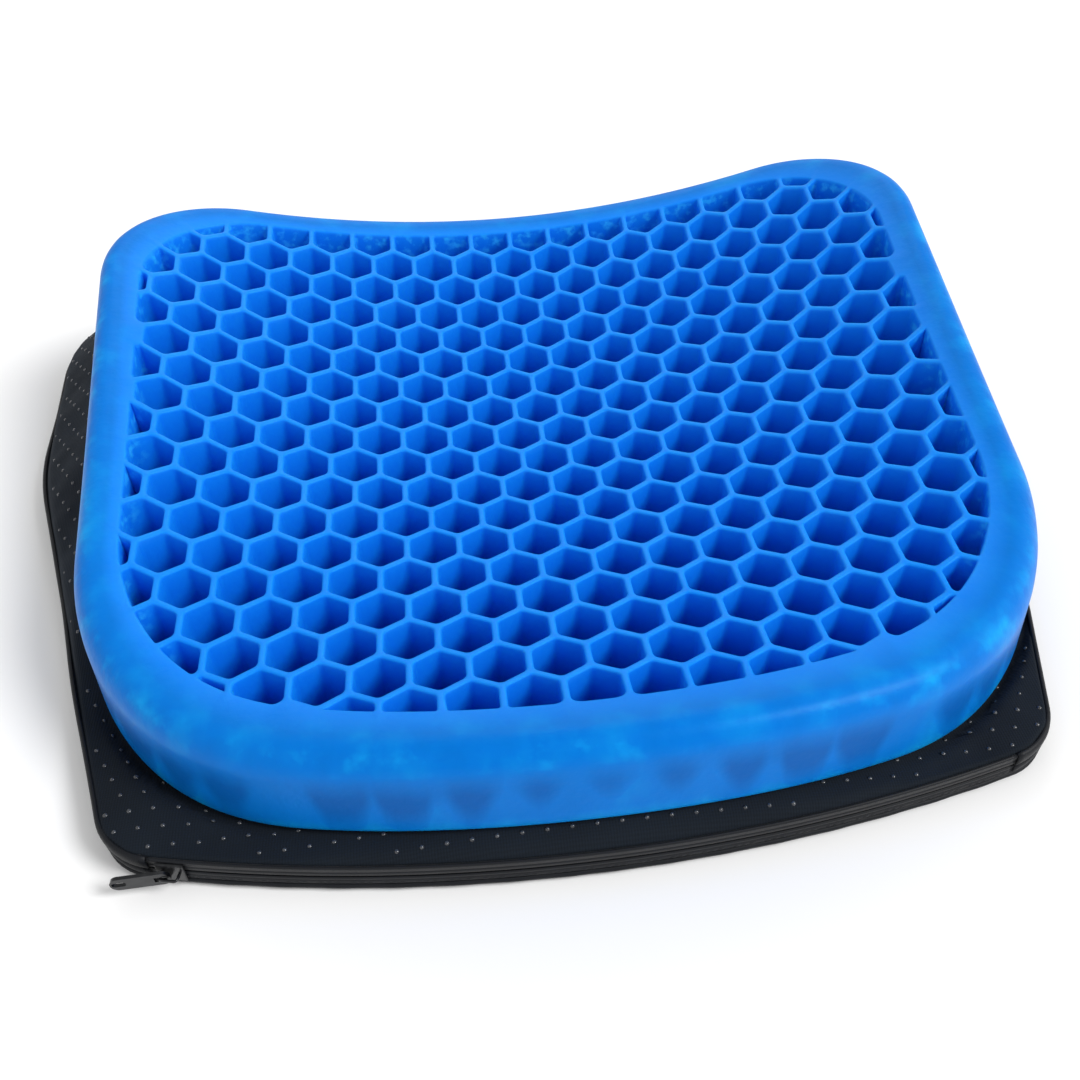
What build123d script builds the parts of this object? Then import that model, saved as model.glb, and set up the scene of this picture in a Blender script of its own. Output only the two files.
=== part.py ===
"""Honeycomb gel seat cushion lying on its empty zipped cover. Millimetres, +Z up.

The origin is the middle of the footprint, on the surface that the cover lies on. -Y is the front,
where the sitter's thighs go and where the cover's zipper runs. The cover lies bottom side up, so
its dotted grip panel is on top, under the pad.
"""

import os
from math import cos, degrees, radians, sin, sqrt, tan

from build123d import *

# ---- gel pad ----
cell_pitch = 18.5  # centre to centre of two cells in a row
cell_wall = 2.4  # gel web between two cells
row_step = cell_pitch * sqrt(3) / 2
smallest_cell_share = 0.10  # a cell that the rim cuts to less than this is left out

field_half_width = 165.0  # honeycomb field at its back corners
field_front_half_width = 151.0  # the same at its front corners, before rounding
field_front = -167.0  # front of the field at the centre line, from the lattice's own origin
field_back = 117.5
field_front_radius = 305.0
field_front_corner = 92.0
field_back_corner = 52.0

pad_front = -189.0  # the pad's outer wall, where it would meet the floor
pad_back = 136.0
pad_front_radius = 335.0
pad_front_half_width = 166.5
pad_back_half_width = 188.0
pad_front_corner = 110.0
pad_back_corner = 62.0
wall_lean = 3.0  # degrees that the outer wall leans inwards
rim_rounding = 9.0
rim_bottom_rounding = 2.0

pad_thickness = 32.0  # at the lowest point of the seat
bottom_sag_share = 0.8  # the underside is bent this much of the top
tall = 150.0  # more than the whole cushion's height, for cutting prisms

# The seat's sag, as rises above its lowest point at 1 reach from it.
sag_reach = 9 * cell_pitch
sag_centre_y = -2 * cell_pitch
side_rise = 25.5
end_rise = 25.2
back_corner_lift = 27.9
corner_ease = -24.6
patch_reaches = 1.55  # half size of the sag surface, in reaches

# ---- cover ----
cover_front = -10.5 * cell_pitch  # from the lattice's origin
cover_back = 9.0 * cell_pitch
cover_front_radius = 31 * cell_pitch
cover_front_half_width = 8.1 * cell_pitch
cover_knee = (11.27 * cell_pitch, 0.79 * cell_pitch)  # where each side turns a little
cover_back_half_width = 12.0 * cell_pitch
cover_front_corner = 1.4 * cell_pitch
cover_knee_rounding = 12 * cell_pitch
cover_back_corner = 3.5 * cell_pitch

fabric = 1.2
clearance = 0.4  # between the pad and the cloth under it
seam_gap = 0.05  # between sewn neighbours, so that no two solids share volume
piping = 2.0
cloth_inset = 0.6  # the cover's cloth edge lies this far inside the piping's outer edge
band_bottom = fabric + piping + 2 * seam_gap
band_height = 8.5  # the cover's side strip, from the piping to the grip panel
pad_nest = 1.0  # between the pad's wall and the cloth beside it
seam_ledge = 3.05  # the grip panel is level this far in from the cover's outline
skirt_slope = 33.0  # the grip panel falls to its seam at this angle, in degrees
skirt_reach = 75.0

# ---- zipper ----
tape = 0.6
tape_slit = 1.0
coil_width = 1.8
coil_thickness = 1.6
zip_half_angle = 13.7  # degrees each side of the centre line, about the front arc's centre
stop_length = 2.6
slider_length = 9.0
slider_height = 7.4
slider_plate = 1.0
slider_clearance = 0.3
slider_post = 0.4
slider_post_length = 3.0
bridge_length = 6.4
bridge_rise = 3.0
bridge_wire = 0.9
pull_length = 18.0
pull_width = 5.6
pull_thickness = 1.2
pull_bar = 1.0
pull_eye_length = 3.9
pull_eye_width = 2.2
pull_rest_angle = 14.0  # the tab stands off the tape by this much at rest

lattice_x = 0.2 * cell_pitch  # the pad doesn't lie quite in the middle of the cover
lattice_y = -(cover_front + cover_back) / 2  # puts the footprint's middle on the origin
pad_bottom = 2 * fabric + seam_gap + clearance  # the underside's lowest point
panel_edge_top = band_bottom + band_height + seam_gap + fabric
arc_centre_y = lattice_y + cover_front + cover_front_radius
band_radius = cover_front_radius - cloth_inset  # outer face of the zipper tapes
slit_height = band_bottom + band_height / 2
slider_angle = degrees((stop_length + slider_length / 2 + slider_clearance) / cover_front_radius)
slider_rest = -zip_half_angle + slider_angle


def sag_surface(share, height):
    """The bent seat surface as one biquadratic patch, with its lowest point at the given height."""
    k = patch_reaches
    one, line, square = (1, 1, 1), (-1, 0, 1), (1, -1, 1)  # 1, t and t*t on -1..1, as control values
    rises = [
        (side_rise * k**2, square, one),
        (end_rise * k**2, one, square),
        (back_corner_lift * k**3, square, line),
        (corner_ease * k**4, square, square),
    ]
    half = sag_reach * k
    net = [
        [
            Vector(
                lattice_x + line[i] * half,
                lattice_y + sag_centre_y + line[j] * half,
                height + share * sum(rise * across[i] * along[j] for rise, across, along in rises),
            )
            for j in range(3)
        ]
        for i in range(3)
    ]
    return Face.make_bezier_surface(net)


def bowed_outline(front, back, radius, front_half, back_half, front_corner, back_corner):
    """A seat's outline: a bowed front, slanted sides and a straight back, with rounded corners."""
    bow = radius - sqrt(radius**2 - front_half**2)
    left, right = (-front_half, front + bow), (front_half, front + bow)
    with BuildSketch(Plane((lattice_x, lattice_y, 0))) as outline:
        with BuildLine():
            ThreePointArc(left, (0, front), right)
            Polyline(right, (back_half, back), (-back_half, back), left)
        make_face()
        fillet(outline.vertices().group_by(Axis.Y)[0], front_corner)
        fillet(outline.vertices().group_by(Axis.Y)[-1], back_corner)
    return outline.sketch


def field_sketch():
    """Outline of the honeycomb field."""
    return bowed_outline(
        field_front,
        field_back,
        field_front_radius,
        field_front_half_width,
        field_half_width,
        field_front_corner,
        field_back_corner,
    )


def pad_sketch():
    """Outline of the pad's outer wall, where it would meet the floor."""
    return bowed_outline(
        pad_front,
        pad_back,
        pad_front_radius,
        pad_front_half_width,
        pad_back_half_width,
        pad_front_corner,
        pad_back_corner,
    )


def cover_sketch(inset):
    """Outline of the cover, moved in by the given amount: a bowed front and kneed sides."""
    front, back = lattice_y + cover_front, lattice_y + cover_back
    half = cover_front_half_width
    corner_y = front + cover_front_radius - sqrt(cover_front_radius**2 - half**2)
    knee_x, knee_y = cover_knee[0], lattice_y + cover_knee[1]
    with BuildSketch() as outline:
        with BuildLine():
            ThreePointArc((-half, corner_y), (0, front), (half, corner_y))
            Polyline(
                (half, corner_y),
                (knee_x, knee_y),
                (cover_back_half_width, back),
                (-cover_back_half_width, back),
                (-knee_x, knee_y),
                (-half, corner_y),
            )
        make_face()
        offset(amount=-inset, kind=Kind.INTERSECTION)
        rows = outline.vertices().group_by(Axis.Y)
        fillet(rows[0], max(cover_front_corner - inset, 6))
        rows = outline.vertices().group_by(Axis.Y)
        fillet(rows[-1], cover_back_corner - inset * 0.5)
        knees = [v for v in outline.vertices() if abs(v.Y - knee_y) < 0.2 * cell_pitch + inset * 0.3]
        fillet([v for v in knees if abs(v.X) > half], cover_knee_rounding)
    return outline.sketch


def zip_plane(angle):
    """Upright plane through the front arc's centre: its x runs outwards, its y upwards."""
    outwards = (sin(radians(angle)), -cos(radians(angle)), 0)
    return Plane(origin=(0, arc_centre_y, 0), x_dir=outwards, z_dir=Vector(*outwards).cross(Vector(0, 0, 1)))


def zip_bar(outer, thickness, bottom, top, start, end):
    """A bar that follows the front arc from one angle to another."""
    with BuildPart() as bar:
        with BuildSketch(zip_plane(start)):
            with Locations((outer - thickness / 2, (bottom + top) / 2)):
                Rectangle(thickness, top - bottom)
        revolve(axis=Axis((0, arc_centre_y, 0), (0, 0, 1)), revolution_arc=end - start)
    return bar.part


def grip_form(spread):
    """Everything under the grip panel's upper face, with the pad's nest made wider by the spread."""
    skirt_top = panel_edge_top + skirt_reach * tan(radians(skirt_slope))
    with BuildPart() as form:
        with BuildSketch():
            add(cover_sketch(cloth_inset))
        extrude(amount=panel_edge_top)
        with BuildSketch(Plane.XY.offset(panel_edge_top)):
            add(cover_sketch(cloth_inset))
        with BuildSketch(Plane.XY.offset(skirt_top)):
            add(cover_sketch(cloth_inset + skirt_reach))
        loft(ruled=True)
        under_pad = sag_surface(bottom_sag_share, pad_bottom - clearance)
        extrude(under_pad, amount=tall, dir=(0, 0, 1), mode=Mode.SUBTRACT)
        with BuildSketch():
            add(cover_sketch(cloth_inset))
            with BuildSketch(mode=Mode.SUBTRACT):
                add(pad_sketch())
                offset(amount=pad_nest + spread)
                add(cover_sketch(seam_ledge - spread), mode=Mode.INTERSECT)
        extrude(amount=panel_edge_top)
    return form.part


os.makedirs("parts", exist_ok=True)

# Gel pad: one moulding, a honeycomb of through cells inside a solid rounded rim.
apothem = (cell_pitch - cell_wall) / 2
full_cell = 2 * sqrt(3) * apothem**2
with BuildSketch() as honeycomb:
    with Locations(
        [
            (lattice_x + (column + (row % 2) / 2) * cell_pitch, lattice_y + row * row_step)
            for row in range(-11, 9)
            for column in range(-10, 11)
        ]
    ):
        RegularPolygon(apothem, 6, major_radius=False, rotation=30)
    add(field_sketch(), mode=Mode.INTERSECT)
cells = [cell for cell in honeycomb.faces() if cell.area > smallest_cell_share * full_cell]

with BuildPart() as gel_pad:
    with BuildSketch():
        add(pad_sketch())
    extrude(amount=tall, taper=wall_lean)
    extrude(sag_surface(1.0, pad_bottom + pad_thickness), amount=tall, dir=(0, 0, 1), mode=Mode.SUBTRACT)
    extrude(sag_surface(bottom_sag_share, pad_bottom), amount=tall, dir=(0, 0, -1), mode=Mode.SUBTRACT)
    seat_faces = gel_pad.faces().sort_by(SortBy.AREA)[-2:].sort_by(Axis.Z)
    fillet(seat_faces[-1].edges(), rim_rounding)
    seat_faces = gel_pad.faces().sort_by(SortBy.AREA)[-2:].sort_by(Axis.Z)
    fillet(seat_faces[0].edges(), rim_bottom_rounding)
    extrude(cells, amount=tall, mode=Mode.SUBTRACT)
gel_pad.part.label = "gel_pad"
print("cells", len(cells))

# Base panel: the cover's seat side, flat on the floor while the cover lies bottom side up.
with BuildPart() as base_panel:
    with BuildSketch():
        add(cover_sketch(cloth_inset))
    extrude(amount=fabric)
base_panel.part.label = "base_panel"

# Grip panel: it hangs under the pad and slopes from there to its seam on the side strip.
with BuildPart() as grip_panel:
    add(grip_form(0))
    with Locations((0, 0, -fabric)):
        add(grip_form(fabric), mode=Mode.SUBTRACT)
grip_panel.part.label = "grip_panel"

# Base piping: the welt in the seam between the base panel and the side strip.
with BuildPart() as base_piping:
    welt_height = fabric + seam_gap + piping / 2
    route = Wire(cover_sketch(piping / 2).face().outer_wire().edges()).moved(Location((0, 0, welt_height)))
    with BuildSketch(Plane(origin=route @ 0, z_dir=route % 0)):
        Circle(piping / 2)
    sweep(path=route)
base_piping.part.label = "base_piping"

# Boxing strip: the cover's side wall, round the back and both sides up to the zipper's ends.
with BuildPart() as boxing_strip:
    with BuildSketch(Plane.XY.offset(band_bottom)):
        add(cover_sketch(cloth_inset))
        add(cover_sketch(cloth_inset + fabric), mode=Mode.SUBTRACT)
        with BuildLine():
            near, far = 0.9 * cover_front_radius, 1.1 * cover_front_radius
            corners = ((near, -1), (far, -1), (far, 1), (near, 1))
            Polyline(
                *(
                    (side * r * sin(radians(zip_half_angle)), arc_centre_y - r * cos(radians(zip_half_angle)))
                    for r, side in corners
                ),
                close=True,
            )
        make_face(mode=Mode.SUBTRACT)
    extrude(amount=band_height)
boxing_strip.part.label = "boxing_strip"

# Zipper: two tapes with a slit between them, a half coil behind each, and the stops.
tape_end = zip_half_angle - degrees(seam_gap / cover_front_radius)
slit_bottom, slit_top = slit_height - tape_slit / 2, slit_height + tape_slit / 2
coil_outer = band_radius - tape - seam_gap
stop_angle = degrees(stop_length / cover_front_radius)
zipper = {
    "zipper_tape_lower": zip_bar(band_radius, tape, band_bottom, slit_bottom, -tape_end, tape_end),
    "zipper_tape_upper": zip_bar(band_radius, tape, slit_top, band_bottom + band_height, -tape_end, tape_end),
}
for side, bottom in (("lower", slit_bottom - coil_width), ("upper", slit_top)):
    reach = tape_end - stop_angle
    zipper[f"zipper_coil_{side}"] = zip_bar(
        coil_outer, coil_thickness, bottom, bottom + coil_width, -reach, reach
    )

stop_start = tape_end - stop_angle + degrees(seam_gap / cover_front_radius)
with BuildPart() as top_stops:
    for bottom in (slit_bottom - coil_width, slit_top):
        add(zip_bar(coil_outer, coil_thickness, bottom, bottom + coil_width, -tape_end, -stop_start))
zipper["zipper_top_stops"] = top_stops.part
zipper["zipper_bottom_stop"] = zip_bar(
    coil_outer, coil_thickness, slit_bottom - coil_width, slit_top + coil_width, stop_start, tape_end
)
for name, piece in zipper.items():
    piece.label = name

# Slider: a plate on each face of the zipper, two flanges round the coils and a thin post between.
half_angle = degrees(slider_length / 2 / cover_front_radius)
slider_start, slider_end = slider_rest - half_angle, slider_rest + half_angle
plate_outer = band_radius + slider_clearance + slider_plate
inner_face = coil_outer - coil_thickness - slider_clearance
flange_outer = coil_outer - slider_clearance
coil_reach = tape_slit / 2 + coil_width + slider_clearance
post_angle = degrees(slider_post_length / 2 / cover_front_radius)
with BuildPart() as zipper_slider:
    low, high = slit_height - slider_height / 2, slit_height + slider_height / 2
    add(zip_bar(plate_outer, slider_plate, low, high, slider_start, slider_end))
    add(zip_bar(inner_face, slider_plate, low, high, slider_start, slider_end))
    flange_depth = flange_outer - inner_face
    for low_edge, high_edge in ((low, slit_height - coil_reach), (slit_height + coil_reach, high)):
        add(zip_bar(flange_outer, flange_depth, low_edge, high_edge, slider_start, slider_end))
    post_low, post_high = slit_height - slider_post / 2, slit_height + slider_post / 2
    post_depth = plate_outer - slider_plate - inner_face
    post_start = slider_rest - post_angle
    post_end = slider_rest + post_angle
    add(zip_bar(plate_outer - slider_plate, post_depth, post_low, post_high, post_start, post_end))
    fillet(zipper_slider.edges().filter_by(Axis.Z).group_by(SortBy.LENGTH)[-1], 0.4)
zipper_slider.part.label = "zipper_slider"

# Slider bridge: a wire staple along the slider's outer plate, that holds the pull.
slider_outwards = Vector(sin(radians(slider_rest)), -cos(radians(slider_rest)), 0)
along = Vector(cos(radians(slider_rest)), sin(radians(slider_rest)), 0)
plate_middle = Vector(0, arc_centre_y, slit_height) + slider_outwards * (plate_outer + seam_gap)
bridge_plane = Plane(origin=plate_middle, x_dir=along, z_dir=along.cross(slider_outwards))
with BuildPart() as slider_bridge:
    with BuildLine(bridge_plane) as staple:
        half = bridge_length / 2 - bridge_wire / 2
        top = bridge_rise - bridge_wire / 2
        FilletPolyline((-half, 0), (-half, top), (half, top), (half, 0), radius=bridge_wire)
    with BuildSketch(Plane(origin=staple.line @ 0, z_dir=staple.line % 0)):
        Circle(bridge_wire / 2)
    sweep(path=staple.line)
slider_bridge.part.label = "slider_bridge"

# Pull: a flat tab with an eye at one end, whose bar lies under the bridge.
pull_pivot = plate_middle + slider_outwards * ((bridge_rise - bridge_wire) / 2)
rest = radians(pull_rest_angle)
pull_along = slider_outwards * sin(rest) - along * cos(rest)
pull_plane = Plane(origin=pull_pivot, x_dir=pull_along, z_dir=pull_along.cross(Vector(0, 0, 1)))
with BuildPart() as zipper_pull:
    with BuildSketch(pull_plane):
        with Locations(((pull_length - pull_bar) / 2, 0)):
            RectangleRounded(pull_length, pull_width, pull_width / 2 - 0.1)
        with Locations(((pull_bar + pull_eye_length) / 2, 0)):
            Rectangle(pull_eye_length, pull_eye_width, mode=Mode.SUBTRACT)
        with Locations((pull_length * 0.82, 0)):
            SlotOverall(pull_width * 0.8, pull_width * 0.35, mode=Mode.SUBTRACT)
    extrude(amount=pull_thickness / 2, both=True)
zipper_pull.part.label = "zipper_pull"

blocks = (
    gel_pad,
    base_panel,
    grip_panel,
    base_piping,
    boxing_strip,
    zipper_slider,
    slider_bridge,
    zipper_pull,
)
for block in blocks:
    export_step(block.part, f"parts/{block.part.label}.step")
for name, piece in zipper.items():
    export_step(piece, f"parts/{name}.step")

print("zipper axis y", round(arc_centre_y, 3), "travel in degrees", round(-2 * slider_rest, 3))
print("pull pivot", [round(value, 3) for value in tuple(pull_pivot)])
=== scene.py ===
"""Honeycomb gel seat cushion lying on its empty zipped cover: its looks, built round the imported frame.

Metres, +Z up. The cushion's front, with the zipper, faces -Y.
"""

from math import atan2, cos, exp, pi, radians, sin, sqrt, tan

import bmesh
import bpy
from mathutils import Matrix, Vector, noise


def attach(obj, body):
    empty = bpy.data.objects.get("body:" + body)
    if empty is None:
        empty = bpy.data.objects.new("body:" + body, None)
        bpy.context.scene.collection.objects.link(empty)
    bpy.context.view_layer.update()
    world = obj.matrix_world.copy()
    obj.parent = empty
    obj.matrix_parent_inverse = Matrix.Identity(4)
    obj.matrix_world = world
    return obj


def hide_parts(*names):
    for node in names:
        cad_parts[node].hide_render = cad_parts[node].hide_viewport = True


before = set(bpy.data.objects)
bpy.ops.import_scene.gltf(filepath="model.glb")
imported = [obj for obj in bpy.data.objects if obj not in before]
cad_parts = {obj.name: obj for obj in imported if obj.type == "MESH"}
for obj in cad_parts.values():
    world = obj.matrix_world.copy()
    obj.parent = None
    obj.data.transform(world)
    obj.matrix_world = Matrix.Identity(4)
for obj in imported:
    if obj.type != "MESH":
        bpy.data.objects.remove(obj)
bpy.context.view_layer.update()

# ---------------------------------------------------------------------------------------------
# The studio: a wide pale floor, one large soft light above and to the right, weaker ones from
# the left and from behind, and the camera close in front of the cushion, looking down on it.
cell_pitch = 0.0185
lattice_x, lattice_y = 0.2 * cell_pitch, 0.75 * cell_pitch  # the honeycomb's own origin
pad_bottom, pad_thickness = 0.00285, 0.032

look_at = Vector(
    (
        lattice_x - 0.43 * cell_pitch,
        lattice_y - 4.29 * cell_pitch,
        pad_bottom + pad_thickness,
    )
)
camera_turn, camera_height, camera_roll = radians(-4.8), radians(42.57), radians(-2.61)
camera_distance = 20.95 * cell_pitch
away = Vector(
    (
        sin(camera_turn) * cos(camera_height),
        -cos(camera_turn) * cos(camera_height),
        sin(camera_height),
    )
)
level = Vector((cos(camera_turn), sin(camera_turn), 0))
upright = away.cross(level)
camera_right = cos(camera_roll) * level + sin(camera_roll) * upright
camera_up = cos(camera_roll) * upright - sin(camera_roll) * level
camera_data = bpy.data.cameras.new("camera")
camera_data.lens, camera_data.sensor_width = 35.9, 36
camera_data.clip_start, camera_data.clip_end = 0.01, 50
camera = bpy.data.objects.new("camera", camera_data)
camera.matrix_world = Matrix.Translation(look_at + away * camera_distance) @ Matrix(
    (camera_right, camera_up, away)
).transposed().to_4x4()
bpy.context.collection.objects.link(camera)
bpy.context.scene.camera = camera
bpy.context.scene.view_settings.view_transform = "Standard"


class Dye:
    """One value in a material's nodes. Python's operators on it add the Math nodes."""

    def __init__(self, tree, socket):
        self.tree, self.socket = tree, socket

    def math(self, operation, *values):
        return mix_node(self.tree, "ShaderNodeMath", {"operation": operation}, dict(enumerate(values)))

    def __add__(self, other):
        return self.math("ADD", self, other)

    def __sub__(self, other):
        return self.math("SUBTRACT", self, other)

    def __rsub__(self, other):
        return self.math("SUBTRACT", other, self)

    def __mul__(self, other):
        return self.math("MULTIPLY", self, other)

    __radd__, __rmul__ = __add__, __mul__

    def clamped(self):
        return mix_node(self.tree, "ShaderNodeClamp", {}, {0: self})

    def ramp(self, *stops):
        return mix_node(self.tree, "ShaderNodeValToRGB", {"stops": stops}, {0: self})


def mix_node(tree, kind, settings, sockets, out=0):
    """Adds a node: its settings come first, then the values or links of its sockets."""
    node = tree.nodes.new(kind)
    for name, value in settings.items():
        if name == "stops":
            ramp = node.color_ramp
            for place, colour in value[2:]:
                ramp.elements.new(place).color = (*colour, 1)
            for element, (place, colour) in zip((ramp.elements[0], ramp.elements[-1]), value[:2]):
                element.position, element.color = place, (*colour, 1)
        else:
            setattr(node, name, value)
    for name, value in sockets.items():
        if isinstance(value, Dye):
            tree.links.new(value.socket, node.inputs[name])
        else:
            node.inputs[name].default_value = value
    return Dye(tree, node.outputs[out])


class Finish:
    """A material with one Principled shader. Constants go on the shader's own sockets."""

    def __init__(self, name, **constants):
        self.material = bpy.data.materials.new(name)
        self.material.use_nodes = True
        self.tree = self.material.node_tree
        self.shader = self.tree.nodes["Principled BSDF"]
        for key, value in constants.items():
            self.shader.inputs[key.replace("_", " ")].default_value = value
        self.place = self.node("ShaderNodeTexCoord", {}, {}, "Object")

    def node(self, kind, settings, sockets, out=0):
        return mix_node(self.tree, kind, settings, sockets, out)

    def blotches(self, scale, detail=2.0, stretch=(1, 1, 1)):
        spot = self.node("ShaderNodeMapping", {}, {"Vector": self.place, "Scale": stretch})
        return self.node("ShaderNodeTexNoise", {}, {"Vector": spot, "Scale": scale, "Detail": detail})

    def attribute(self, name):
        return self.node("ShaderNodeAttribute", {"attribute_name": name}, {}, "Fac")

    def blend(self, share, first, second):
        return self.node("ShaderNodeMix", {"data_type": "RGBA"}, {0: share, 6: first, 7: second}, 2)

    def lead(self, name, value):
        self.tree.links.new(value.socket, self.shader.inputs[name])

    def bump(self, height, distance, strength):
        sockets = {"Height": height, "Distance": distance, "Strength": strength}
        self.lead("Normal", self.node("ShaderNodeBump", {}, sockets))


def make_piece(bm, name, finish, smooth=True):
    """Turns a finished bmesh into a piece with its faces outwards and its place in its mesh."""
    mesh = bpy.data.meshes.new(name)
    bmesh.ops.recalc_face_normals(bm, faces=bm.faces)
    bm.to_mesh(mesh)
    bm.free()
    mesh.materials.append(finish.material)
    mesh.polygons.foreach_set("use_smooth", [smooth] * len(mesh.polygons))
    piece = bpy.data.objects.new(name, mesh)
    bpy.context.collection.objects.link(piece)
    return piece


floor_reach, floor_gap = 12, 0.0003
floor_finish = Finish("studio_floor", Base_Color=(0.93, 0.93, 0.93, 1), Roughness=0.9)
floor_mesh = bmesh.new()
bmesh.ops.create_grid(floor_mesh, x_segments=1, y_segments=1, size=floor_reach)
floor = make_piece(floor_mesh, "floor", floor_finish, smooth=False)
floor.location.z = -floor_gap

for name, kind, spot, softness, power in (
    ("key_light", "SUN", Vector((1.05, -0.45, 1.05)), radians(22), 2.35),
    ("fill_light", "AREA", Vector((-1.0, -0.9, 1.0)), 1.4, 2.5),
    ("back_light", "AREA", Vector((0.15, 1.2, 1.1)), 1.0, 4),
):
    light_data = bpy.data.lights.new(name, kind)
    light_data.energy = power
    if kind == "SUN":
        light_data.angle = softness
    else:
        light_data.size = softness
    light = bpy.data.objects.new(name, light_data)
    light.location = spot
    light.rotation_euler = (-spot).to_track_quat("-Z", "Y").to_euler()
    bpy.context.collection.objects.link(light)
sky = bpy.data.worlds.new("white_room")
sky.use_nodes = True
sky.node_tree.nodes["Background"].inputs["Color"].default_value = (1, 1, 1, 1)
sky.node_tree.nodes["Background"].inputs["Strength"].default_value = 0.6
bpy.context.scene.world = sky

# ---------------------------------------------------------------------------------------------
# Gel pad: one soft blue moulding of translucent gel. A honeycomb of through cells stands inside
# a solid rounded rim, and the whole pad is dished like a seat, with its back corners highest.
cell_wall = 0.0024
field = dict(front=-0.167, back=0.1175, radius=0.305, front_half=0.151, back_half=0.165)
field_corners = (0.092, 0.052)
wall = dict(front=-0.189, back=0.136, radius=0.335, front_half=0.1665, back_half=0.188)
wall_corners = (0.110, 0.062)
wall_lean = tan(radians(3))
lip_radius = 0.0008
shoulder_radius, heel_radius = 0.0095, 0.003
rim_inset = shoulder_radius + 0.001
smallest_cell_share = 0.11  # a cell that the rim cuts to less than this is left out
shortest_cell_side, cell_corner_cut, straightest_corner = 0.0012, 0.0016, radians(25)
bottom_sag_share = 0.8
sag_reach, sag_centre_y = 9 * cell_pitch, lattice_y - 2 * cell_pitch
side_rise, end_rise, back_corner_lift, corner_ease = 0.0255, 0.0252, 0.0279, -0.0246


def seat_rise(x, y):
    """How far the dished seat rises above its lowest point."""
    across, along = ((x - lattice_x) / sag_reach) ** 2, (y - sag_centre_y) / sag_reach
    return (
        side_rise * across
        + end_rise * along**2
        + back_corner_lift * across * along
        + corner_ease * across * along**2
    )


def arc_points(centre, start, turn, step):
    """Spins one point about a centre and returns the points on the way, with their outward normals."""
    bm = bmesh.new()
    vert = bm.verts.new(start)
    count = max(2, round(abs(turn) * (start - centre).length / step))
    bmesh.ops.spin(bm, geom=[vert], cent=centre, axis=(0, 0, 1), angle=turn, steps=count)
    places = [v.co.copy() for v in bm.verts]
    bm.free()
    return [(place, (place - centre).normalized()) for place in places]


def line_points(start, end, step):
    """Points along a straight side, without its ends, with their outward normals."""
    run = end - start
    count = max(1, round(run.length / step))
    normal = Vector((run.y, -run.x, 0)).normalized()
    return [(start + run * (i / count), normal) for i in range(1, count)]


def round_corner(before, corner, after, radius):
    """Where a corner's arc starts, its centre, and how far it turns."""
    back, on = (before - corner).normalized(), (after - corner).normalized()
    half = back.angle(on) / 2
    centre = corner + (back + on).normalized() * (radius / sin(half))
    return corner + back * (radius / tan(half)), centre, pi - 2 * half


def stations(front, back, radius, front_half, back_half, corners, origin, step, knee=None):
    """An outline with a bowed front, walked anticlockwise from the middle of the front."""
    bow_centre = Vector((0, front + radius, 0))
    corner = Vector((front_half, front + radius - sqrt(radius**2 - front_half**2), 0))
    next_point = Vector((*knee[:2], 0)) if knee else Vector((back_half, back, 0))
    side = (next_point - corner).normalized()
    inwards = Vector((-side.y, side.x, 0))
    # The front corner's arc touches the bow from inside and the side line.
    reach = corner + inwards * corners[0] - bow_centre
    bow = reach.dot(side)
    swing = sqrt(bow**2 - reach.length_squared + (radius - corners[0]) ** 2)
    slide = min(-bow - swing, -bow + swing, key=abs)
    centre = corner + inwards * corners[0] + side * slide
    touch = bow_centre + (centre - bow_centre).normalized() * radius
    leave = corner + side * slide
    front_turn = atan2(touch.x, bow_centre.y - touch.y)
    corner_turn = (touch - centre).angle(leave - centre)
    half = arc_points(bow_centre, Vector((0, front, 0)), front_turn, step)
    half += arc_points(centre, touch, corner_turn, step)[1:]
    here = leave
    back_corner = Vector((back_half, back, 0))
    turns = [(next_point, back_corner, knee[2])] if knee else []
    turns.append((back_corner, Vector((0, back, 0)), corners[1]))
    for turn_corner, after, turn_radius in turns:
        start, turn_centre, turn = round_corner(here, turn_corner, after, turn_radius)
        half += line_points(here, start, step) + arc_points(turn_centre, start, turn, step)
        here = half[-1][0]
    half += line_points(here, Vector((0, back, 0)), step)
    half.append((Vector((0, back, 0)), Vector((0, 1, 0))))
    mirrored = [(Vector((-p.x, p.y, 0)), Vector((-n.x, n.y, 0))) for p, n in half[-2:0:-1]]
    shift = Vector((*origin, 0))
    return [(place + shift, normal) for place, normal in half + mirrored]


def first_ring(bm, count, place, closed=True):
    """Starts a skin: one vertex for each station, joined by edges."""
    station = bm.verts.layers.int.get("station") or bm.verts.layers.int.new("station")
    verts = [bm.verts.new(place(i)) for i in range(count)]
    for i, vert in enumerate(verts):
        vert[station] = i + 1
    pairs = zip(verts, verts[1:] + verts[:1]) if closed else zip(verts, verts[1:])
    return [bm.edges.new(pair) for pair in pairs]


def next_ring(bm, edges, place):
    """Extrudes a ring of edges, and puts each new vertex where its station says."""
    station = bm.verts.layers.int["station"]
    grown = bmesh.ops.extrude_edge_only(bm, edges=edges)["geom"]
    verts = {v for v in grown if isinstance(v, bmesh.types.BMVert)}
    for vert in verts:
        vert.co = place(vert[station] - 1)
    return [e for e in grown if isinstance(e, bmesh.types.BMEdge) and set(e.verts) <= verts]


def skin(bm, count, levels, place, closed=True):
    """A skin of rings, one for each level, and its last ring's edges."""
    ring = first_ring(bm, count, lambda i: place(i, levels[0]), closed)
    for level in levels[1:]:
        ring = next_ring(bm, ring, lambda i: place(i, level))
    return ring


lattice_origin = (lattice_x, lattice_y)
field_stations = stations(**field, corners=field_corners, origin=lattice_origin, step=0.004)
wall_stations = stations(**wall, corners=wall_corners, origin=lattice_origin, step=0.003)

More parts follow.
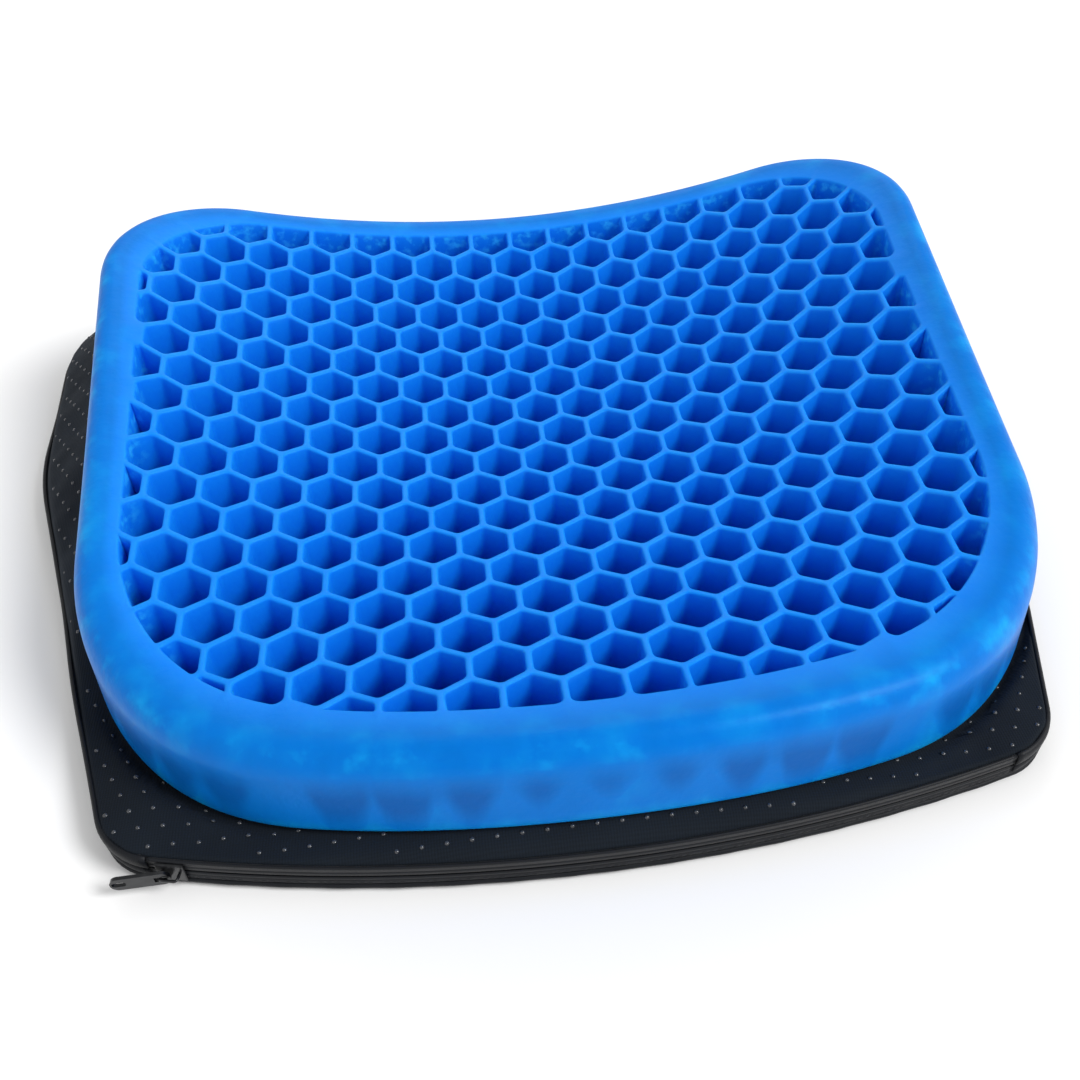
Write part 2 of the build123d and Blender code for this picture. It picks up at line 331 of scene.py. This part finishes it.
# The cells' mouths: hexagons in the flat, cut by the field's outline, with softened corners.
apothem = (cell_pitch - cell_wall) / 2 + lip_radius
circumradius = apothem * 2 / sqrt(3)
full_cell = 2 * sqrt(3) * apothem**2
gel_mesh = bmesh.new()
cell_centres = []
for row in range(-11, 9):
    for column in range(-10, 11):
        middle = Vector(
            (
                lattice_x + (column + (row % 2) / 2) * cell_pitch,
                lattice_y + row * cell_pitch * sqrt(3) / 2,
                0,
            )
        )
        near = [
            (p, n)
            for p, n in field_stations
            if (p - middle).length < 2 * cell_pitch or n.dot(middle - p) > 0
        ]
        if any(n.dot(middle - p) > circumradius for p, n in near):
            continue
        cell = bmesh.new()
        spot = Matrix.Translation(middle)
        bmesh.ops.create_circle(cell, cap_ends=True, radius=circumradius, segments=6, matrix=spot)
        for p, n in near:
            if n.dot(middle - p) > -circumradius and cell.faces:
                parts = cell.verts[:] + cell.edges[:] + cell.faces[:]
                bmesh.ops.bisect_plane(cell, geom=parts, plane_co=p, plane_no=n, clear_outer=True)
        if sum(face.calc_area() for face in cell.faces) > smallest_cell_share * full_cell:
            bmesh.ops.remove_doubles(cell, verts=cell.verts, dist=shortest_cell_side)
            corners = []
            for v in cell.verts:
                ahead, behind = (edge.other_vert(v).co for edge in v.link_edges[:2])
                if (ahead - v.co).angle(v.co - behind) > straightest_corner:
                    corners.append(v)
            bmesh.ops.bevel(
                cell,
                geom=corners,
                offset=cell_corner_cut,
                affect="VERTICES",
                segments=3,
                profile=0.5,
                material=-1,
                clamp_overlap=True,
            )
            bmesh.ops.remove_doubles(cell, verts=cell.verts, dist=0.0002)
            gel_mesh.faces.new([gel_mesh.verts.new(v.co) for v in cell.faces[:][0].verts])
            cell_centres.append(middle)
        cell.free()
for face in gel_mesh.faces:
    face.normal_update()
    if face.normal.z < 0:
        face.normal_flip()
mouths = gel_mesh.faces[:]


def flat_to_seat(x, y, z):
    """Height in the dished pad of a point of the flat one."""
    share = bottom_sag_share + (1 - bottom_sag_share) * z / pad_thickness
    return pad_bottom + z + share * seat_rise(x, y)


def wall_place(i, level):
    """A point of the flat pad's outside: the leaning wall moves in as the seat lifts it."""
    inset, z = level
    p, n = wall_stations[i]
    spot = p - n * (inset + wall_lean * flat_to_seat(p.x, p.y, z))
    return Vector((spot.x, spot.y, z - pad_thickness / 2))


# The top web, then each cell's rounded lip and the upper half of its walls, mirrored for the bottom.
web_rim = (rim_inset, pad_thickness)
first_ring(gel_mesh, len(wall_stations), lambda i: wall_place(i, web_rim))
outer_edges = [e for e in gel_mesh.edges if not e.link_faces]
web_edges = outer_edges + [e for e in gel_mesh.edges if len(e.link_faces) == 1]
bmesh.ops.translate(
    gel_mesh, verts=[v for f in mouths for v in f.verts], vec=(0, 0, pad_thickness / 2)
)
bmesh.ops.triangle_fill(gel_mesh, edges=web_edges, use_beauty=True, normal=(0, 0, 1))
lip_steps = 3
for k in range(1, lip_steps + 1):
    begin, end = (k - 1) * pi / 2 / lip_steps, k * pi / 2 / lip_steps
    bmesh.ops.inset_individual(
        gel_mesh,
        faces=mouths,
        thickness=lip_radius * (sin(end) - sin(begin)),
        depth=-lip_radius * (cos(begin) - cos(end)),
        use_even_offset=True,
    )
tubes = bmesh.ops.extrude_discrete_faces(gel_mesh, faces=mouths)["faces"]
bmesh.ops.translate(
    gel_mesh, verts=[v for f in tubes for v in f.verts], vec=(0, 0, lip_radius - pad_thickness / 2)
)
bmesh.ops.delete(gel_mesh, geom=tubes, context="FACES")
whole = gel_mesh.verts[:] + gel_mesh.edges[:] + gel_mesh.faces[:]
bmesh.ops.mirror(gel_mesh, geom=whole, axis="Z", merge_dist=0.00001)

# The rim: over the round shoulder, down the leaning wall and round the small heel to the bottom web.
shoulder_steps, wall_step, heel_steps = 8, 0.0024, 4
rim_profile = [web_rim]
rim_profile += [
    (shoulder_radius * (1 - sin(a)), pad_thickness - shoulder_radius * (1 - cos(a)))
    for a in (k * pi / 2 / shoulder_steps for k in range(shoulder_steps + 1))
]
rim_profile += [(0, pad_thickness - shoulder_radius - k * wall_step) for k in range(1, 8)]
rim_profile += [
    (heel_radius * (1 - cos(a)), heel_radius * (1 - sin(a)))
    for a in (k * pi / 2 / heel_steps for k in range(heel_steps + 1))
]
ring = skin(gel_mesh, len(wall_stations), rim_profile, wall_place)
next_ring(gel_mesh, ring, lambda i: Vector((*wall_place(i, web_rim).xy, -pad_thickness / 2)))
bmesh.ops.remove_doubles(gel_mesh, verts=gel_mesh.verts, dist=0.00002)

# Painted shade and light on the rim: darker in front of each cell behind its wall, where the cell shows
# through, and a paler heel.
depth = gel_mesh.verts.layers.float.new("depth")
shade = gel_mesh.verts.layers.float.new("shade")
rim = gel_mesh.verts.layers.float.new("rim")
border = gel_mesh.verts.layers.float.new("border")
station = gel_mesh.verts.layers.int["station"]
looked_into, shadow_reach, shadow_ease = 0.021, 0.0105, 0.005
border_reach, border_ease = 0.0035, 0.0015
gaps = [min((c - p + n * looked_into).length for c in cell_centres) for p, n in wall_stations]
for vert in gel_mesh.verts:
    z = vert.co.z + pad_thickness / 2
    vert[depth] = 1 - z / pad_thickness
    if vert[station]:
        gap = gaps[vert[station] - 1]
        vert[shade] = max(0.0, min(1.0, (shadow_reach - gap) / shadow_ease))
        vert[rim] = 1.0
    else:
        to_rim = min(n.dot(p - vert.co) for p, n in field_stations[::3])
        vert[border] = max(0.0, min(1.0, (border_reach - to_rim) / border_ease))
    vert.co.z = flat_to_seat(vert.co.x, vert.co.y, z)

gel_finish = Finish(
    "blue_gel",
    IOR=1.33,
    Specular_IOR_Level=0.34,
    Specular_Tint=(0.1, 0.68, 1.0, 1),
    Subsurface_Weight=0.4,
    Subsurface_Radius=(0.15, 0.55, 1.0),
    Subsurface_Scale=0.010,
    Coat_Weight=0.035,
    Coat_Roughness=0.28,
    Coat_Tint=(0.7, 0.92, 1.0, 1),
)
cell_depth = gel_finish.attribute("depth")
on_rim = gel_finish.attribute("rim")
# Painted shade: the gel is painted darker the deeper it lies in the cells, from the top web down to the
# bottom web.
cell_tone = (cell_depth + (gel_finish.blotches(38.0, 3.0) - 0.5) * 0.2).clamped()
cell_colour = cell_tone.ramp(
    (0.0, (0.009, 0.225, 0.82)),
    (1.0, (0.001, 0.130, 0.62)),
    (0.05, (0.004, 0.205, 0.80)),
    (0.4, (0.002, 0.165, 0.72)),
)
# Painted highlights: bright blue glints painted in noise patches on the upper cell walls next to the
# rim.
on_wall = (cell_depth * 25.0).clamped() * (1 - (cell_depth * 1.7).clamped())
painted_glint = ((gel_finish.blotches(260.0, 4.0) - 0.50) * 6.0).clamped() * on_wall * 0.75
painted_glint_blue = (0.03, 0.50, 0.95, 1)
cell_colour = gel_finish.blend(gel_finish.attribute("border") * painted_glint, cell_colour, painted_glint_blue)
streaks = gel_finish.blotches(70.0, 3.0, stretch=(1, 1, 0.35))
# Painted shade: darker arches on the rim wall where the cells behind it show through, narrowing
# downwards.
narrowing = (cell_depth - 0.45).clamped() * 1.9
arch = ((gel_finish.attribute("shade") - narrowing + (streaks - 0.5) * 0.35) * 1.6).clamped()
painted_cell_shade = arch * (cell_depth * 3.2 - 0.75).clamped()
# Painted light: the bottom of the rim wall is painted paler.
heel = ((cell_depth - 0.80) * 3.0).clamped()
# Painted highlights: lighter noise patches painted over the rim's rounded shoulder.
shoulder = (cell_depth * 12.0).clamped() * (1 - (cell_depth * 3.2).clamped())
painted_shoulder_highlight = shoulder * ((gel_finish.blotches(110.0, 5.0) - 0.5) * 5.0).clamped()
rim_tone = (0.5 + (streaks - 0.5) * 0.5 + heel * 0.32 + painted_shoulder_highlight * 0.35 - painted_cell_shade * 0.55).clamped()
rim_colour = rim_tone.ramp(
    (0.0, (0.0005, 0.105, 0.42)),
    (1.0, (0.008, 0.420, 0.84)),
    (0.5, (0.001, 0.170, 0.61)),
)
gel_finish.lead("Base Color", gel_finish.blend(on_rim, cell_colour, rim_colour))
gel_finish.lead("Roughness", 0.3 + gel_finish.blotches(55.0, 4.0) * 0.25)
gel_grain = gel_finish.blotches(420.0, 4.0) + gel_finish.blotches(60.0, 2.0) * 1.5
gel_finish.bump(gel_grain, 0.0003, 0.5)
gel_pad = make_piece(gel_mesh, "gel_moulding", gel_finish)
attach(gel_pad, "pad")
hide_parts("gel_pad")

# ---------------------------------------------------------------------------------------------
# Grip panel: the cover's underside, turned up here. Black knitted polyester with silicone grip
# dots. It lies in the hollow under the pad and falls from there to its seam on the side strip.
cover = dict(
    front=-10.5 * cell_pitch,
    back=9.0 * cell_pitch,
    radius=31 * cell_pitch,
    front_half=8.1 * cell_pitch,
    back_half=12.0 * cell_pitch,
)
cover_corners = (1.4 * cell_pitch, 3.5 * cell_pitch)
cover_knee = (11.27 * cell_pitch, 0.79 * cell_pitch, 12 * cell_pitch)
cloth_inset, seam_inset = 0.0006, 0.0015
seam_height, crease_depth, crease_rise, crease_width = 0.01305, 0.0014, 0.0032, 0.0021
skirt_slope, fold_ease, fold_sag = tan(radians(33)), 0.004, 0.001
nest_edge, nest_ease = 0.0008, 0.0022
cloth_gap = 0.0005  # between the pad's underside and the cloth
cloth_middle = Vector((0, -0.004, 0))
cover_stations = stations(
    **cover, corners=cover_corners, origin=(0, lattice_y), step=0.0025, knee=cover_knee
)
arc_centre = Vector((0, lattice_y + cover["front"] + cover["radius"], 0))
cover_outline, pad_outline = cover_stations[::5], wall_stations[::4]
zip_half_angle = radians(13.7)


def arc_angle(spot):
    """How far round the front arc a point lies, from the middle of the front."""
    return atan2(spot.x, arc_centre.y - spot.y)


def edge_wave(spot):
    """The cover's edge isn't quite true away from the zipper, which keeps the front straight."""
    beyond = max(0.0, min(1.0, (abs(arc_angle(spot)) - zip_half_angle) * 12))
    if spot.y > arc_centre.y:
        beyond = 1.0
    return beyond * 0.0022 * noise.noise(spot * 16 + Vector((3.1, 0.7, 5.2)))


def inside(outline, spot):
    """How far a point lies inside an outline."""
    return min(n.dot(p - spot) for p, n in outline)


def cloth_height(spot):
    """The grip panel's upper face: the lower of the slope from its seam and the pad's underside."""
    from_edge = max(0.0, inside(cover_outline, spot) - seam_inset)
    under = pad_bottom - cloth_gap + bottom_sag_share * seat_rise(spot.x, spot.y)
    tucked = seam_height - crease_depth + crease_rise * (1 - exp(-from_edge / crease_width))
    slope = tucked + skirt_slope * from_edge
    near = max(fold_ease - abs(slope - under), 0) / fold_ease
    height = min(slope, under) - near**2 * fold_sag
    outside = -inside(pad_outline, spot)
    if outside > nest_edge:
        open_height = max(height, min(tucked, seam_height))
        ripple = noise.noise(spot * 33) * 0.0018 + noise.noise(spot * 95 + Vector((9, 2, 4))) * 0.0007
        free = min(1.0, from_edge / 0.006) * min(1.0, max(0.0, outside - 0.002) / 0.006)
        open_height += ripple * free
        height += (open_height - height) * min(1.0, (outside - nest_edge) / nest_ease)
    return height, from_edge


def cloth_place(i, share):
    """A point of the grip panel: a share of the way from its middle to its edge."""
    p, n = cover_stations[i]
    edge = p - n * (seam_inset - edge_wave(p))
    spot = cloth_middle + (edge - cloth_middle) * share
    spot.z, from_edge = cloth_height(spot)
    puff = 0.0005 + 0.0006 * noise.noise(p * 45)
    return spot + n * (puff * exp(-(((from_edge - 0.0025) / 0.0022) ** 2)))


# Rings close together at the seam and over the skirt, and wider apart in the nest.
shares = [1, 0.997, 0.994, 0.990, 0.985]
shares += [1 - 0.010 * k for k in range(2, 20)]
shares += [0.79, 0.76, 0.72, 0.67, 0.61, 0.54, 0.46, 0.37, 0.27, 0.16, 0.05]
grip_mesh = bmesh.new()
ring = skin(grip_mesh, len(cover_stations), shares, cloth_place)
bmesh.ops.edgeloop_fill(grip_mesh, edges=ring)


def knit(finish, pitch, height):
    """A fine knit: two crossing waves, in columns and rows, on the piece's own place."""
    scale = (1 / pitch, 1 / pitch, 1)
    fine = finish.node("ShaderNodeMapping", {}, {"Vector": finish.place, "Scale": scale})
    wave = {"wave_type": "BANDS", "wave_profile": "SIN"}
    sockets = {"Vector": fine, "Scale": 0.318, "Distortion": 0.8, "Detail": 1.0}
    columns = finish.node("ShaderNodeTexWave", {**wave, "bands_direction": "X"}, sockets, "Fac")
    rows = finish.node("ShaderNodeTexWave", {**wave, "bands_direction": "Y"}, sockets, "Fac")
    weave = columns * 0.6 + rows * 0.4
    finish.bump(weave + finish.blotches(600.0, 3.0) * 0.6, height, 0.6)
    return weave


grip_finish = Finish(
    "black_knit",
    Roughness=0.85,
    Specular_IOR_Level=0.15,
    Sheen_Weight=0.05,
    Sheen_Roughness=0.45,
    Sheen_Tint=(0.6, 0.7, 0.85, 1),
)
grip_weave = knit(grip_finish, 0.0009, 0.00012)
grip_tone = (grip_weave * 0.35 + grip_finish.blotches(25.0, 4.0) * 0.8 - 0.1).clamped()
grip_colour = grip_tone.ramp((0.0, (0.002, 0.0035, 0.006)), (1.0, (0.010, 0.016, 0.025)))
grip_finish.lead("Base Color", grip_colour)
grip_panel = make_piece(grip_mesh, "grip_cloth", grip_finish)


def thicken(piece, amount, offset):
    """Gives a cloth piece its thickness, inwards of its faces at an offset of -1."""
    thickness = piece.modifiers.new("thickness", "SOLIDIFY")
    thickness.thickness, thickness.offset = amount, offset


thicken(grip_panel, 0.0009, -1)
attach(grip_panel, "cover")
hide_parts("grip_panel")

# Grip dots: drops of black silicone, printed on the cloth in staggered rows. Each sinks a little
# into the cloth. One drop is shaped from two cones, and set down along every row.
dot_pitch, dot_radius, dot_height, dot_sunk = 0.0075, 0.00085, 0.0006, 0.0001
dot_margin, dot_shift, tilt_reach = 0.0038, 0.004, 0.001
skirt, crown = dot_height * 0.55, dot_height * 0.45
drop_mesh = bmesh.new()
for radius1, radius2, base, tall in (
    (dot_radius, dot_radius * 0.8, 0, skirt),
    (dot_radius * 0.8, dot_radius * 0.3, skirt, crown),
):
    bmesh.ops.create_cone(
        drop_mesh,
        cap_ends=True,
        segments=8,
        radius1=radius1,
        radius2=radius2,
        depth=tall,
        matrix=Matrix.Translation((0, 0, base + tall / 2 - dot_sunk)),
    )
between = [
    f
    for f in drop_mesh.faces
    if len(f.verts) == 8 and abs(f.calc_center_median().z - skirt + dot_sunk) < 0.00001
]
bmesh.ops.delete(drop_mesh, geom=between, context="FACES_ONLY")
bmesh.ops.remove_doubles(drop_mesh, verts=drop_mesh.verts, dist=0.00001)
drop_points = len(drop_mesh.verts)
one_drop, one_row = bpy.data.meshes.new("drop"), bpy.data.meshes.new("dot_row")
drop_mesh.to_mesh(one_drop)
drop_mesh.free()
dot_mesh = bmesh.new()
for row in range(-28, 30):
    row_mesh = bmesh.new()
    for column in range(-30, 31):
        spot = Vector(
            ((column + (row % 2) / 2) * dot_pitch, row * dot_pitch * sqrt(3) / 2 - dot_shift, 0)
        )
        if inside(cover_outline, spot) < dot_margin:
            continue
        east, north = spot + Vector((tilt_reach, 0, 0)), spot + Vector((0, tilt_reach, 0))
        here, there, beside = (cloth_height(v)[0] for v in (spot, east, north))
        slope = Vector(((here - there) / tilt_reach, (here - beside) / tilt_reach, 1)).normalized()
        turned = slope.to_track_quat("Z", "Y").to_matrix().to_4x4()
        spread = 1 + 0.18 * noise.noise(spot * 400)
        shaped = Matrix.Diagonal((spread, spread, 1, 1))
        seat = Matrix.Translation((spot.x, spot.y, here)) @ turned @ shaped
        row_mesh.from_mesh(one_drop)
        row_mesh.verts.ensure_lookup_table()
        bmesh.ops.transform(row_mesh, matrix=seat, verts=row_mesh.verts[-drop_points:])
    row_mesh.to_mesh(one_row)
    row_mesh.free()
    dot_mesh.from_mesh(one_row)
bpy.data.meshes.remove(one_drop)
bpy.data.meshes.remove(one_row)
dot_finish = Finish("silicone_dots", Roughness=0.12, IOR=1.45, Coat_Weight=0.5, Coat_Roughness=0.08)
dot_tone = dot_finish.blotches(150.0, 2.0)
dot_colour = dot_tone.ramp((0.2, (0.016, 0.018, 0.022)), (0.9, (0.06, 0.065, 0.075)))
dot_finish.lead("Base Color", dot_colour)
dots = make_piece(dot_mesh, "grip_dots", dot_finish)
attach(dots, "cover")

# ---------------------------------------------------------------------------------------------
# Base panel: the cover's seat side, of the same knit without dots. It lies flat on the floor.
base_top, base_thickness = 0.00115, 0.0010


def base_place(i, share):
    """A point of the base panel: a share of the way from its middle to its edge."""
    p, n = cover_stations[i]
    edge = p - n * (cloth_inset + 0.0004 - edge_wave(p))
    spot = cloth_middle + (edge - cloth_middle) * share
    spot.z = base_top
    return spot


base_mesh = bmesh.new()
base_shares = (1, 0.985, 0.96, 0.9, 0.8, 0.65, 0.5, 0.35, 0.2, 0.05)
ring = skin(base_mesh, len(cover_stations), base_shares, base_place)
bmesh.ops.edgeloop_fill(base_mesh, edges=ring)
base_finish = Finish("black_seat_knit", Roughness=0.9, Specular_IOR_Level=0.25, Sheen_Weight=0.2)
base_weave = knit(base_finish, 0.0014, 0.0002)
base_colour = base_weave.ramp((0.0, (0.006, 0.007, 0.010)), (1.0, (0.022, 0.025, 0.031)))
base_finish.lead("Base Color", base_colour)
base_panel = make_piece(base_mesh, "base_cloth", base_finish)
thicken(base_panel, base_thickness, -1)
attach(base_panel, "cover")
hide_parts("base_panel")

# ---------------------------------------------------------------------------------------------
# Base piping: a cord in a bias-cut cloth tube, sewn into the seam round the base panel.
piping_radius, piping_height, piping_twist, piping_sides = 0.0010, 0.00225, 0.0001, 12


def piping_place(i, around):
    """A point of the piping, at an angle round its cord."""
    p, n = cover_stations[i]
    inset = piping_radius * (1 - cos(around)) - edge_wave(p) - piping_twist * sin(i * 0.9)
    return p - n * inset + Vector((0, 0, piping_height + piping_radius * sin(around)))


piping_mesh = bmesh.new()
turns_round = [2 * pi * k / piping_sides for k in range(piping_sides + 1)]
skin(piping_mesh, len(cover_stations), turns_round, piping_place)
bmesh.ops.remove_doubles(piping_mesh, verts=piping_mesh.verts, dist=0.00001)
strip_finish = Finish(
    "black_strip_cloth",
    Roughness=0.55,
    Specular_IOR_Level=0.25,
    Sheen_Weight=0.03,
    Sheen_Roughness=0.35,
)
strip_weave = knit(strip_finish, 0.0006, 0.00006)
strip_tone = (strip_weave * 0.4 + strip_finish.blotches(30.0, 4.0) * 0.7 - 0.1).clamped()
strip_colour = strip_tone.ramp((0.0, (0.001, 0.0015, 0.003)), (1.0, (0.005, 0.007, 0.011)))
strip_finish.lead("Base Color", strip_colour)
piping = make_piece(piping_mesh, "base_welt", strip_finish)
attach(piping, "cover")
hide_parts("base_piping")

# ---------------------------------------------------------------------------------------------
# Boxing strip: a folded strip of smooth woven cloth round the back and both sides. Its fold
# leaves a groove along it, and its ends are sewn to the zipper's tapes.
strip_profile = [
    (0.0013, 0.0034),
    (0.0007, 0.0040),
    (0.0004, 0.0052),
    (0.0005, 0.0064),
    (0.0012, 0.0070),
    (0.0006, 0.0076),
    (0.0002, 0.0090),
    (0.0001, 0.0106),
    (0.0003, 0.0117),
    (0.0009, 0.0123),
    (0.0015, 0.0120),
]


def arc_station(angle):
    """A station of the front arc, at an angle from its middle."""
    normal = Vector((sin(angle), -cos(angle), 0))
    return arc_centre + normal * cover["radius"], normal


past_zipper = [
    (p, n)
    for p, n in cover_stations
    if p.y > arc_centre.y or abs(arc_angle(p)) > zip_half_angle + 0.002
]
strip_stations = [arc_station(zip_half_angle), *past_zipper, arc_station(-zip_half_angle)]


def strip_place(i, level):
    """A point of the strip, at a height of its profile."""
    inset, z = level
    p, n = strip_stations[i]
    spot = p - n * (inset - edge_wave(p))
    spot.z = z
    return spot


strip_mesh = bmesh.new()
skin(strip_mesh, len(strip_stations), strip_profile, strip_place, closed=False)
boxing = make_piece(strip_mesh, "side_strip", strip_finish)
thicken(boxing, 0.0008, 0)
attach(boxing, "cover")
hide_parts("boxing_strip")
strip_length = sum((q - p).length for (p, _), (q, _) in zip(strip_stations, strip_stations[1:]))

# Stitches: two rows of black polyester thread along the strip and the tapes.
stitch_pitch, stitch_length, stitch_radius = 0.0033, 0.0022, 0.00016
stitch_heights, run_stations = (0.0042, 0.0112), 40
stitch_mesh = bmesh.new()
one_run = bpy.data.meshes.new("stitch_run")
walked = 0.0
for first in range(0, len(cover_stations), run_stations):
    run_mesh = bmesh.new()
    for i in range(first, min(first + run_stations, len(cover_stations))):
        (p, n), (q, m) = cover_stations[i - 1], cover_stations[i]
        walked += (q - p).length
        if walked < stitch_pitch:
            continue
        walked -= stitch_pitch
        for z in stitch_heights:
            along = (q - p).normalized()
            spot = q - m * (cloth_inset - edge_wave(q))
            turned = Matrix((along, m, Vector((0, 0, 1)))).transposed().to_4x4()
            shaped = Matrix.Diagonal((stitch_length / 2, stitch_radius, stitch_radius * 1.6, 1))
            bmesh.ops.create_uvsphere(
                run_mesh,
                u_segments=6,
                v_segments=4,
                radius=1,
                matrix=Matrix.Translation((spot.x, spot.y, z)) @ turned @ shaped,
            )
    run_mesh.to_mesh(one_run)
    run_mesh.free()
    stitch_mesh.from_mesh(one_run)
bpy.data.meshes.remove(one_run)
thread_finish = Finish("black_thread", Roughness=0.5, Specular_IOR_Level=0.3, Sheen_Weight=0.05)
thread_tone = thread_finish.blotches(900.0)
thread_colour = thread_tone.ramp((0.3, (0.003, 0.004, 0.006)), (0.8, (0.012, 0.014, 0.018)))
thread_finish.lead("Base Color", thread_colour)
stitches = make_piece(stitch_mesh, "seam_stitches", thread_finish)
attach(stitches, "cover")

# ---------------------------------------------------------------------------------------------
# Zipper: two woven polyester tapes with a slit between them, and behind each the teeth of a
# nylon coil. The tapes are sewn to the panels and the teeth to the tapes.
band_radius, tape = cover["radius"] - cloth_inset, 0.0006
half_steps = 60
zip_steps = range(-half_steps, half_steps + 1)
zip_stations = [arc_station(zip_half_angle * k / half_steps) for k in zip_steps]
tape_finish = Finish("zipper_tape", Roughness=0.5, Specular_IOR_Level=0.25, Sheen_Weight=0.03)
rib = tape_finish.node(
    "ShaderNodeTexWave",
    {"wave_type": "BANDS", "bands_direction": "Z"},
    {"Vector": tape_finish.place, "Scale": 380.0},
    "Fac",
)
twill = tape_finish.node(
    "ShaderNodeTexWave",
    {"wave_type": "BANDS", "bands_direction": "X"},
    {"Vector": tape_finish.place, "Scale": 420.0, "Distortion": 1.0},
    "Fac",
)
tape_finish.bump(rib * 0.6 + twill * 0.4, 0.00008, 0.5)
tape_tone = (twill * 0.3 + tape_finish.blotches(40.0, 3.0) * 0.8 - 0.1).clamped()
tape_colour = tape_tone.ramp((0.0, (0.001, 0.0015, 0.003)), (1.0, (0.006, 0.008, 0.012)))
tape_finish.lead("Base Color", tape_colour)


def tape_place(i, level):
    """A point of a tape, at a height of its profile."""
    inset, z = level
    p, n = zip_stations[i]
    return p - n * (cloth_inset + inset) + Vector((0, 0, z))


tape_profiles = {
    "lower": [
        (0.0003, 0.0033),
        (0.0, 0.0037),
        (0.0, 0.0052),
        (0.00025, 0.0055),
        (0.0, 0.0058),
        (0.0, 0.00705),
    ],
    "upper": [
        (0.0, 0.00805),
        (0.0, 0.0093),
        (0.00025, 0.0096),
        (0.0, 0.0099),
        (-0.0001, 0.0113),
        (-0.0002, 0.0118),
        (0.0003, 0.0123),
        (0.0009, 0.0120),
    ],
}
for side, profile in tape_profiles.items():
    tape_mesh = bmesh.new()
    skin(tape_mesh, len(zip_stations), profile, tape_place, closed=False)
    tape_piece = make_piece(tape_mesh, f"tape_{side}", tape_finish)
    facing_y = sum(f.normal.y for f in tape_piece.data.polygons)
    thicken(tape_piece, tape * 0.9, -1 if facing_y < 0 else 1)
    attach(tape_piece, "cover")
    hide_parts(f"zipper_tape_{side}")

coil_finish = Finish("nylon_coil", Roughness=0.3, Coat_Weight=0.2)
coil_tone = coil_finish.blotches(700.0)
coil_colour = coil_tone.ramp((0.2, (0.008, 0.009, 0.011)), (0.9, (0.028, 0.030, 0.036)))
coil_finish.lead("Base Color", coil_colour)
tooth_pitch, tooth_radius, tooth_stretch, tooth_inset = 0.0013, 0.00038, 1.9, 0.00085
teeth_reach = zip_half_angle - 0.0052  # short of the stops
for side, low, high in (("lower", 0.00525, 0.0073), ("upper", 0.0078, 0.00985)):
    teeth_mesh = bmesh.new()
    count = int(2 * teeth_reach * band_radius / tooth_pitch)
    for k in range(count):
        angle = -teeth_reach + 2 * teeth_reach * (k + (0.5 if side == "upper" else 0)) / count
        p, n = arc_station(angle)
        centre = p - n * (cloth_inset + tape + tooth_inset) + Vector((0, 0, (low + high) / 2))
        shaped = Matrix.Rotation(angle, 4, "Z") @ Matrix.Diagonal((1, tooth_stretch, 1, 1))
        bmesh.ops.create_cone(
            teeth_mesh,
            cap_ends=True,
            segments=8,
            radius1=tooth_radius,
            radius2=tooth_radius,
            depth=high - low,
            matrix=Matrix.Translation(centre) @ shaped,
        )
    teeth = make_piece(teeth_mesh, f"teeth_{side}", coil_finish)
    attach(teeth, "cover")
    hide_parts(f"zipper_coil_{side}")

# ---------------------------------------------------------------------------------------------
# Stops, slider, bridge and pull: die-cast zinc with black enamel, worn to grey in scattered patches.
enamel = Finish("black_enamel", Metallic=0.6, Roughness=0.32, Coat_Weight=0.4, Coat_Roughness=0.15)
wear = (enamel.blotches(260.0, 5.0) * 2.4 - 1.1).clamped()
enamel.lead("Base Color", wear.ramp((0.0, (0.005, 0.006, 0.008)), (1.0, (0.045, 0.047, 0.052))))
enamel.lead("Roughness", 0.28 + wear * 0.3)
enamel.bump(enamel.blotches(500.0, 3.0), 0.00004, 0.4)
steel = Finish("stop_metal", Metallic=1.0, Roughness=0.35)
steel_tone = steel.blotches(500.0, 3.0)
steel.lead("Base Color", steel_tone.ramp((0.2, (0.20, 0.20, 0.21)), (0.9, (0.45, 0.45, 0.46))))
for node, finish in (
    ("zipper_slider", enamel),
    ("slider_bridge", enamel),
    ("zipper_pull", enamel),
    ("zipper_top_stops", steel),
    ("zipper_bottom_stop", steel),
):
    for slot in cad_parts[node].material_slots:
        slot.material = finish.material
